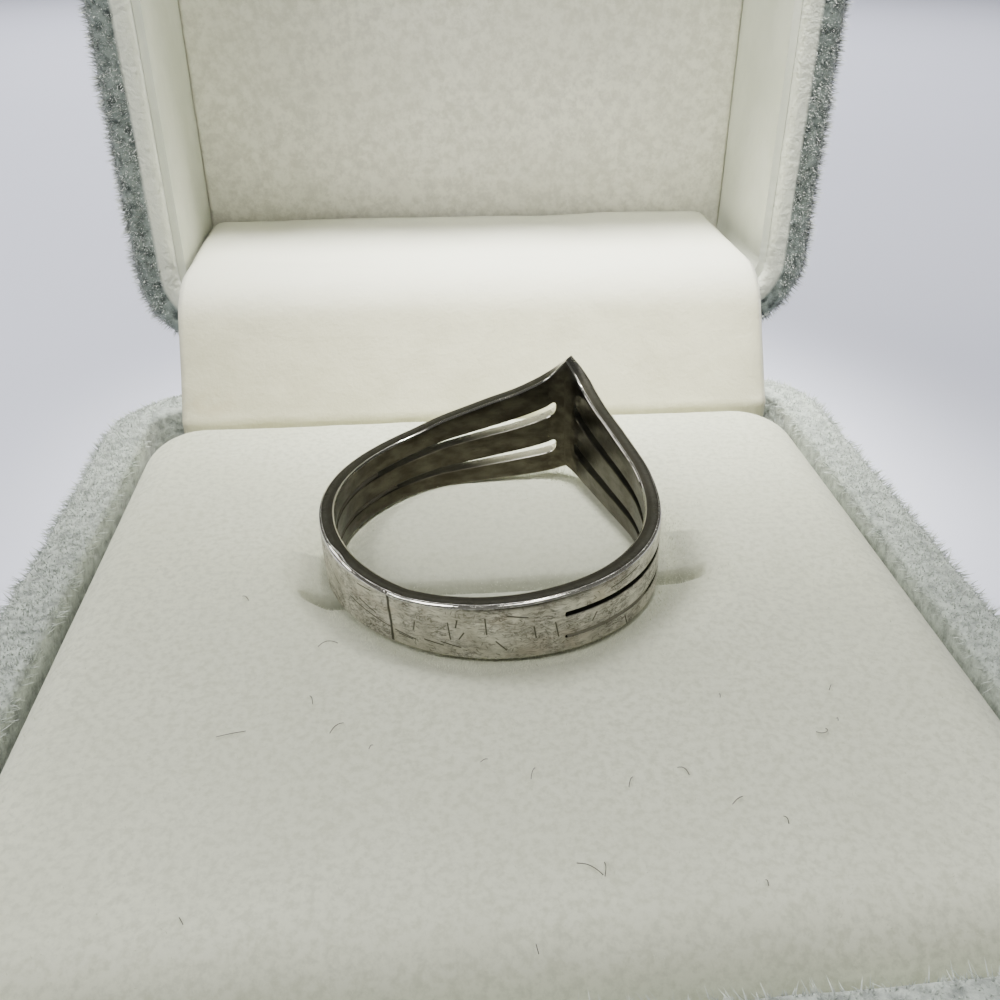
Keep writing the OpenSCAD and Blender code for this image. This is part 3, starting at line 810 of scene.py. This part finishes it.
def fibres(name, host, count, length, width, weight, material, body, seed, trim=None):
    """Pile on host, one leaning triangle to a fibre. weight gives a density for each face from its
    centre and normal, and trim a share of the length for each root."""
    rng = np.random.default_rng(seed)
    mesh = host.data
    mesh.calc_loop_triangles()
    corners = np.array([face.vertices[:] for face in mesh.loop_triangles])
    co = np.array([vertex.co for vertex in mesh.vertices], np.float32) / MM
    a, b, c = (co[corners[:, k]] for k in range(3))
    cross = np.cross(b - a, c - a)
    area = np.linalg.norm(cross, axis=1)
    normal = cross / np.maximum(area, 1e-9)[:, None]
    share = area * weight((a + b + c) / 3, normal)
    pick = rng.choice(len(corners), count, p=share / share.sum())
    u, v = rng.random(count), rng.random(count)
    over = u + v > 1
    u[over], v[over] = 1 - u[over], 1 - v[over]
    root = a[pick] + (b[pick] - a[pick]) * u[:, None] + (c[pick] - a[pick]) * v[:, None]
    up = normal[pick]
    side = rng.normal(size=(count, 3))
    side -= up * np.sum(side * up, axis=1)[:, None]
    side /= np.linalg.norm(side, axis=1)[:, None]
    lean = rng.normal(size=(count, 3)) * 0.35
    clump = np.array([noise.noise_vector(Vector(p) / 1.3) for p in root]) * 0.8
    way = up + lean + clump
    way /= np.linalg.norm(way, axis=1)[:, None]
    reach = length * rng.uniform(0.6, 1.15, count)[:, None]
    if trim:
        reach *= trim(root)[:, None]
    half = side * width / 2
    points = np.stack((root - half, root + half, root + way * reach), axis=1).reshape(-1, 3)
    faces = np.arange(3 * count).reshape(-1, 3).tolist()
    piece = new_piece(name, points, faces, material, body)
    point_attribute(piece, "tip", np.tile((0.0, 0.0, 1.0), count))
    return piece


def in_shell(points, lid):
    """Places front to back in the base or the lid, how far in they lie, and how far below the rim."""
    x, y, z = points.T
    if lid:
        x, y, depth = x - LID_SHIFT, HINGE_Z - z + HINGE_Y, y - (HINGE_Y + BASE_H + RIM_GAP - HINGE_Z)
    else:
        depth = BASE_H - z
    return y, np.minimum(BOX_W / 2 - np.abs(x), BOX_D / 2 - np.abs(y)), depth


def outer_pile(lid, part=None):
    """Density of the pile: thin on the flat outside, and none on the walls inside, at the hinge or
    on the turned lining. part picks the places near the rim or the rest."""
    leaf_low, leaf_high = corners_mm("hinge_base_leaf")
    height, flat, lined = (LID_H, 0.6, LINED) if lid else (BASE_H, 0.1, 0.0)

    def density(centre, normal):
        y, wall, depth = in_shell(centre, lid)
        under = depth > height - 1
        hidden = (wall > WALL_T - 0.4) & (depth > PILE_OVER) & ~under
        at_leaf = (np.abs(centre[:, 0]) < leaf_high[0]) & (depth < BASE_H - leaf_low[2])
        hidden |= at_leaf & (y > BOX_D / 2 - WALL_T)
        hidden |= (wall > WALL_T - lined) & (depth < height / 2)
        if part:
            hidden |= (depth < SHADED_RIM_DEPTH) != (part == "rim")
        return np.where(hidden, 0.0, np.where(under, flat, 1.0))
    return density


def short_on_rim(lid):
    """Share of the pile's length: short on the flat of the rims, which meet when the box is shut."""
    def share(root):
        _, wall, depth = in_shell(root, lid)
        return np.where((depth < 0.4 * RIM_R) & (wall > 0.4 * RIM_R), RIM_PILE, 1.0)
    return share


def by_the_ring(centre, normal):
    """Density of the pad's loose pile: only close to the ring's band and the slit."""
    dx, dy = centre[:, 0] - RING_X, centre[:, 1] - RING_Y
    away = np.abs(np.hypot(dx, dy) - SHANK_R + BAND_T / 2)
    slit = np.where(np.abs(dx) < SLIT_LEN / 2 + 1, np.abs(centre[:, 1] - SLIT_Y), 9.0)
    top = (centre[:, 2] > PAD_TOP - 1.2) & (normal[:, 2] > 0.2)
    return np.where(top, np.exp(-(away / 1.1) ** 2) + 0.15 * np.exp(-(slit / 1.0) ** 2) + 0.02, 0.0)


# Pad and panel

def lines(half, dense_at=(), edge=2.4, step=0.6, fine=0.2):
    """Grid lines from -half to half, close together at the ends and round the places given."""
    values, x = [], -half
    while x < half - 1e-6:
        values.append(x)
        near = half - abs(x) < edge or any(abs(x - c) < r for c, r in dense_at)
        x += fine if near else step
    return values + [half]


def block_grid(width, depth, radius, xs, ys):
    """Points over a rectangle with round corners, from grid lines bent in at the corners."""
    bx, by = width / 2 - radius, depth / 2 - radius
    points = []
    for y in ys:
        for x in xs:
            a, b = max(abs(x) - bx, 0) / radius, max(abs(y) - by, 0) / radius
            px = min(abs(x), bx) + radius * a * sqrt(1 - b * b / 2)
            py = min(abs(y), by) + radius * b * sqrt(1 - a * a / 2)
            points.append((copysign(px, x), copysign(py, y)))
    return points


def edge_gap(x, y, width, depth, radius):
    """Distance of a point from the rounded rectangle's outline, inwards."""
    qx, qy = abs(x) - width / 2 + radius, abs(y) - depth / 2 + radius
    out = hypot(max(qx, 0), max(qy, 0)) + min(max(qx, qy), 0) - radius
    return max(-out, 0)


def soft_top(name, width, depth, radius, top, bottom, edge_roll, relief, place, xs, ys, material, body):
    """A pad: a top that relief shapes, rolled edges, and straight sides down to bottom."""
    flat = block_grid(width, depth, radius, xs, ys)
    points = []
    for x, y in flat:
        gap = edge_gap(x, y, width, depth, radius)
        fall = edge_roll - sqrt(max(0, edge_roll ** 2 - max(edge_roll - gap, 0) ** 2))
        points.append((x, y, top - fall + relief(x, y) * min(gap / edge_roll, 1)))
    rows, columns = len(ys), len(xs)
    faces = grid_faces(rows, columns)
    rim = list(range(columns)) + [i * columns + columns - 1 for i in range(1, rows)]
    rim += [(rows - 1) * columns + j for j in range(columns - 2, -1, -1)]
    rim += [i * columns for i in range(rows - 2, 0, -1)]
    start = len(points)
    for level in range(1, 4):
        for v in rim:
            x, y, z = points[v]
            points.append((x, y, z + (bottom - z) * level / 3))
    loops = [rim] + [list(range(start + n * len(rim), start + (n + 1) * len(rim))) for n in range(3)]
    for upper, lower in zip(loops, loops[1:]):
        for k in range(len(rim)):
            m = (k + 1) % len(rim)
            faces.append((upper[m], upper[k], lower[k], lower[m]))
    faces.append(tuple(loops[-1][::-1]))
    return new_piece(name, place(np.array(points)), faces, material, body)


# Painted shade: how much darker the pile is painted inside the ring and next to its band, where the ring
# shades it
RING_SHADE = 0.42


def from_ring(x, y):
    """Distance from the ring's back, outwards, and the height of its lowest plane over the pad's top."""
    dx, dy = x - RING_X, y - RING_Y
    tilt = radians(RING_TILT)
    plane = -RING_SINK + SHANK_R * sin(tilt) + dx * tan(tilt)
    return hypot(dx, dy) - SHANK_R + BAND_T / 2, plane


def pad_relief(x, y):
    """Height of the pad's top: cloudy pile, the ring's dent and the slit."""
    z = 0.14 * rough(x / 7, y / 7, seed=11) + 0.06 * rough(x / 1.8, y / 1.8, seed=12)
    z += 0.02 * rough(x / 0.55, y / 0.55, seed=13)
    away, plane = from_ring(x, y)
    near = exp(-(away / 1.1) ** 2)
    z = z * (1 - near) + near * min(plane - 0.16, 0.05)
    z = min(z, plane - 0.16 + max(0, abs(away) - 0.9) * 0.4)
    inside = SLIT_LEN / 2 - abs(x - RING_X)
    if inside > 0.5:
        fade = min(1, (inside - 0.5) / 1.6)
        z -= fade * 3.0 * exp(-abs((y - SLIT_Y) / 0.38) ** 2)
        z -= fade * 0.45 * exp(-((y - SLIT_Y) / 2.2) ** 2)
    return z


def painted_pad_shade(x, y, z):
    """Painted shade: 1 deep in the slit, less as a painted shadow in the dent round the ring and inside the
    ring, 0 on the pad's top.
    """
    away, _ = from_ring(x, y)
    dent = 0.6 * exp(-((away - BAND_T) / 1.2) ** 2) if y < SLIT_Y + 4 and away > -2 else 0.0
    within = RING_SHADE * min(1.0, max(0.0, 0.8 - away))
    if away < 0:
        within += 0.22 * exp(-((y - SLIT_Y) / 2.2) ** 2)
    if z > PAD_TOP - 0.6 or abs(y - SLIT_Y) > 1.5 or abs(x - RING_X) > SLIT_LEN / 2 + 1:
        return max(dent, within)
    return max(dent, within, min(0.75, (PAD_TOP - 0.6 - z) / 1.6))


def ring_pad(material):
    low, high = corners_mm("ring_pad")
    width, depth = high[0] - low[0], high[1] - low[1]
    middle = (low[1] + high[1]) / 2
    slit = SLIT_Y - middle
    xs = lines(width / 2, dense_at=((RING_X, SHANK_R + 3.5),), edge=4.2, step=0.45, fine=0.22)
    ys = lines(depth / 2, dense_at=((RING_Y - middle, SHANK_R + 3.5),), edge=4.2, step=0.45, fine=0.22)
    ys = sorted(set(ys) | {round(slit + k * 0.11, 3) for k in range(-6, 7)})

    piece = soft_top("plush_pad", width, depth, PAD_CORNER, PAD_TOP, low[2], PAD_ROLL,
                     lambda x, y: pad_relief(x, y + middle), lambda points: points + (0, middle, 0),
                     xs, ys, material, "base")
    # The other attribute carries painted shade: deep in the slit, a painted shadow in the dent round the
    # ring, and inside the ring.
    point_attribute(piece, "other", [painted_pad_shade(*(v.co / MM)) for v in piece.data.vertices])
    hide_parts("ring_pad")
    return piece


def lid_panel(material):
    """The plush panel at the bottom of the lid, slightly crowned."""
    low, high = corners_mm("lid_panel")
    width, height = high[0] - low[0] + 2 * PANEL_MORE, high[2] - low[2] + 2 * PANEL_MORE
    front, middle = low[1], (low[2] + high[2]) / 2

    def place(points):
        return np.column_stack((points[:, 0] + LID_SHIFT, front - points[:, 2], points[:, 1] + middle))

    def relief(x, y):
        return 0.12 * rough(x / 6, y / 6, seed=21) + 0.06 * rough(x / 1.2, y / 1.2, seed=22)

    xs, ys = lines(width / 2, edge=1.2, step=0.5), lines(height / 2, edge=1.2, step=0.5)
    piece = soft_top("plush_panel", width, height, 2.2, -0.15, front - high[1], 0.4, relief, place,
                     xs, ys, material, "lid")
    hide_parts("lid_panel")
    return piece


# Hinge cover

def cover_path(low, high):
    """Side outline of the cover: a straight front, a round crest and a flat top back to the panel."""
    slope = radians(COVER_SLOPE)
    foot = low[1]
    front = COVER_RISE - COVER_ROUND * (1 - cos(slope))
    crest_y = foot + front / tan(slope) + COVER_ROUND * sin(slope)
    crest_z = BASE_H + COVER_RISE - COVER_ROUND
    path = [(foot, BASE_H - COVER_FOOT * (1 - k / 8)) for k in range(8)]
    path += [(foot + front / tan(slope) * k / 16, BASE_H + front * k / 16) for k in range(16)]
    for k in range(16):
        a = slope * (1 - k / 16)
        path.append((crest_y - COVER_ROUND * sin(a), crest_z + COVER_ROUND * cos(a)))
    path += [(crest_y + (high[1] - crest_y) * k / 24, BASE_H + COVER_RISE) for k in range(25)]
    return path


def hinge_cover(material):
    low, high = corners_mm("hinge_cover")
    path = cover_path(low, high)
    columns = 91
    points = []
    for i, (y, z) in enumerate(path):
        a, b = path[max(i - 1, 0)], path[min(i + 1, len(path) - 1)]
        run = hypot(b[0] - a[0], b[1] - a[1])
        out = (-(b[1] - a[1]) / run, (b[0] - a[0]) / run)
        for j in range(columns):
            x = low[0] + (high[0] - low[0]) * j / (columns - 1)
            push = 0.18 * rough(x / 8, i / 14, seed=31) + 0.06 * rough(x / 2.2, i / 5, seed=32) - 0.3
            side = min(x - low[0], high[0] - x)
            push -= 0.5 * exp(-side / 0.5)
            points.append((x, y + out[0] * push, z + out[1] * push))
    piece = new_piece("cover_cloth", points, grid_faces(len(path), columns), material)
    thick = piece.modifiers.new("cloth", "SOLIDIFY")
    thick.thickness = 0.4 * MM
    thick.offset = -1
    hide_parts("hinge_cover")
    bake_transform(piece)
    return piece


# Lint on the pad: place, length, turn of its start and curl in degrees
LINT = (
    (-9.5, -5.9, 1.07, 42, -70), (8.5, -17.7, 0.66, 32, 5), (6.7, -15.5, 0.64, -27, -50),
    (10.4, -18.5, 0.42, -71, -20), (13.5, -13.9, 0.89, -75, 200), (1.6, -20.0, 1.14, -25, -20),
    (2.6, -20.7, 0.65, 69, 30), (0.3, -15.6, 0.66, 78, -20), (4.4, -16.4, 0.61, 75, -25),
    (-9.6, -9.6, 0.59, -59, -30), (-6.7, -13.2, 0.29, 44, 15), (-13.6, -11.9, 1.34, -6, 35),
    (-8.5, -12.1, 0.84, 54, -20), (-13.9, -1.4, 0.58, -39, -20), (9.8, -11.1, 0.21, -93, 0),
    (14.7, -13.2, 0.14, -72, 0), (15.1, -11.3, 0.40, 51, 10), (-0.4, -23.4, 0.41, -96, 30),
    (-13.4, -21.2, 0.37, -66, 20), (8.7, -21.4, 0.27, -84, 0), (-1.8, -14.4, 0.37, -5, 60),
)


def lint_hairs(material):
    """Small curled hairs lying on the pad, each a thin three-sided tube."""
    points, faces = [], []
    radius, steps = 0.02, 12
    for x, y, length, turn, curl in LINT:
        start = len(points)
        a = radians(turn)
        for k in range(steps + 1):
            z = PAD_TOP + pad_relief(x, y) + radius + 0.03 + 0.12 * sin(pi * k / steps)
            for corner in range(3):
                c = radians(120 * corner)
                side = radius * cos(c)
                points.append((x - sin(a) * side, y + cos(a) * side, z + radius * sin(c)))
            x += cos(a) * length / steps
            y += sin(a) * length / steps
            a += radians(curl) / steps
        end = start + 3 * steps
        for p in range(start, end, 3):
            faces += [(p + c, p + (c + 1) % 3, p + 3 + (c + 1) % 3, p + 3 + c) for c in range(3)]
        faces += [(start, start + 2, start + 1), (end, end + 1, end + 2)]
    return new_piece("lint_hairs", points, faces, material, "base")


# Stage

# Direction of the sky's upper side, and its strength there and on the other side
LIT_SIDE = (0.0, 0.5, 0.86)
SKY_LIT = 0.10
SKY_DARK = 0.155
# Soft lamps: name, place and target in metres, size, power and colour
LAMPS = (
    ("key", (0.03, -0.15, 0.30), (0, 0.005, 0.03), 0.12, 0.2, (1, 0.99, 0.93)),
    ("window", (-0.20, -0.10, 0.27), (0, 0.03, 0.04), 0.14, 0.5, (1, 0.995, 0.95)),
    ("left", (-0.26, 0.10, 0.17), (0, 0, 0.03), 0.08, 0.10, (1, 0.995, 0.95)),
    ("back", (0, 0.55, 0.5), (0, 0.5, 0), 0.7, 8.0, (0.98, 0.98, 1)),
)
LAMP_POWER = 12.0


def floor():
    paint = mottled("floor", 0.6, 60, (0.71, 0.73, 0.85), (0.73, 0.75, 0.87))
    corners = [(-900, -700, 0), (900, -700, 0), (900, 1500, 0), (-900, 1500, 0)]
    new_piece("floor", corners, [(0, 1, 2, 3)], paint)


def hang(data, place, target, power, color):
    """A lamp at place, turned to target."""
    data.energy = power
    data.color = color
    lamp = new_object(data.name, data)
    lamp.location = place
    lamp.rotation_euler = (Vector(target) - Vector(place)).to_track_quat("-Z", "Y").to_euler()


def sky():
    """A soft sky that changes smoothly from its lit side to its dark one."""
    world = bpy.data.worlds.new("studio")
    world.use_nodes = True
    f = Nodes(world.node_tree)
    lean = f.vector("DOT_PRODUCT", f.node("TexCoord", {})["Generated"], LIT_SIDE, "Value")
    background = f.tree.nodes["Background"]
    f.set(background, "Color", (1.0, 0.995, 0.94, 1))
    f.set(background, "Strength", f.ramp(lean, -0.3, 0.9, SKY_DARK, SKY_LIT))
    bpy.context.scene.world = world


def lighting():
    """Soft light from above, the front and behind."""
    sky()
    for name, place, target, size, power, color in LAMPS:
        data = bpy.data.lights.new(name, "AREA")
        data.shape = "DISK"
        data.size = size
        hang(data, place, target, power, color)
    spot = bpy.data.lights.new("lamp", "SPOT")
    spot.spot_size = radians(24)
    spot.spot_blend = 1.0
    spot.shadow_soft_size = 0.02
    hang(spot, (0.012, 0.012, 0.27), (0.009, 0.050, 0.03), LAMP_POWER, (1, 0.995, 0.94))


def camera():
    data = bpy.data.cameras.new("photo")
    data.sensor_width = 36
    data.lens = 34.74
    data.clip_start = 0.005
    eye = new_object("photo", data)
    eye.location = (-3.48 * MM, -44.64 * MM, 56.49 * MM)
    eye.rotation_euler = (radians(58.88), 0, radians(-4.8))
    bpy.context.scene.camera = eye


def box_halves():
    """The two shells of the box and their pile, the same outside, with painted shade on the lid's rim."""
    root, tip = (0.27, 0.30, 0.28), (0.66, 0.72, 0.66)
    # Painted shade: the lid's rim takes darker root and tip colours than the rest of the pile.
    shaded_rim = (0.06, 0.075, 0.07), (0.28, 0.33, 0.30)
    velvet = pile_cloth("pile_fabric", root, tip, 0.7, 0.2, 0.6, (0.70, 0.72, 0.61), shaded_rim)
    pale_velvet = pile_cloth("pale_pile_fabric", root, tip, 0.7, 0.2, 0.6)
    # Fibres for the lid's rim: a darker root as painted shade and a near-white tip as painted sheen.
    fuzz = fibre("pile_fibre", (0.15, 0.17, 0.16), (0.97, 1.0, 0.95))
    pale_fuzz = fibre("pale_pile_fibre", (0.40, 0.44, 0.41), (0.90, 0.95, 0.88))

    base = shell("base_velvet", BASE_H, FLOOR_T, pale_velvet, "base", 41)
    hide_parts("base_shell")
    lid = shell("lid_velvet", LID_H, LID_TOP_T, velvet, "lid", 42, on_lid, LINED)
    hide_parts("lid_shell")
    size = PILE_LEN, PILE_W
    fibres("base_fuzz", base, BASE_PILE, *size, outer_pile(False), pale_fuzz, "base", 51, short_on_rim(False))
    fibres("lid_fuzz", lid, LID_PILE, *size, outer_pile(True, "rest"), pale_fuzz, "lid", 52)
    fibres("rim_fuzz", lid, RIM_COUNT, *size, outer_pile(True, "rim"), fuzz, "lid", 54, short_on_rim(True))


def main():
    noise.seed_set(CLUMP_SEED)
    camera()
    lighting()
    floor()
    box_halves()

    chevron_ring(silver())
    pale_dirt = mottled("old_dirt", 0.75, 0.3, (0.14, 0.13, 0.105), (0.27, 0.255, 0.215), 4, 0.7)
    slot_dirt("slot_dirt", pale_dirt, RIGHT_FILL)
    dark_dirt = mottled("packed_dirt", 0.75, 0.3, (0.05, 0.045, 0.035), (0.12, 0.11, 0.085), 4, 0.7)
    slot_dirt("packed_dirt", dark_dirt, LEFT_FILLS)
    # The plush's last colour is painted shade, laid where the other attribute is set.
    plush = pile_cloth("plush", (0.66, 0.68, 0.53), (0.83, 0.85, 0.69), 0.40, 0.03, 0.3, (0.36, 0.37, 0.30))
    nap = fibre("plush_fibre", (0.72, 0.74, 0.60), (0.85, 0.87, 0.72))
    fibres("pad_nap", ring_pad(plush), NAP_COUNT, 0.22, 0.025, by_the_ring, nap, "base", 53)
    lid_panel(speckled_plush())
    hinge_cover(cover_cloth())
    lint_hairs(mottled("lint", 0.7, 0.5, (0.05, 0.045, 0.04), (0.16, 0.14, 0.12)))

    steel, card = hinge_steel(), lining_card()
    for node in ("hinge_base_leaf", "hinge_lid_leaf", "hinge_pin", "lid_lining"):
        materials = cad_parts[node].data.materials
        materials.clear()
        materials.append(card if node == "lid_lining" else steel)


main()
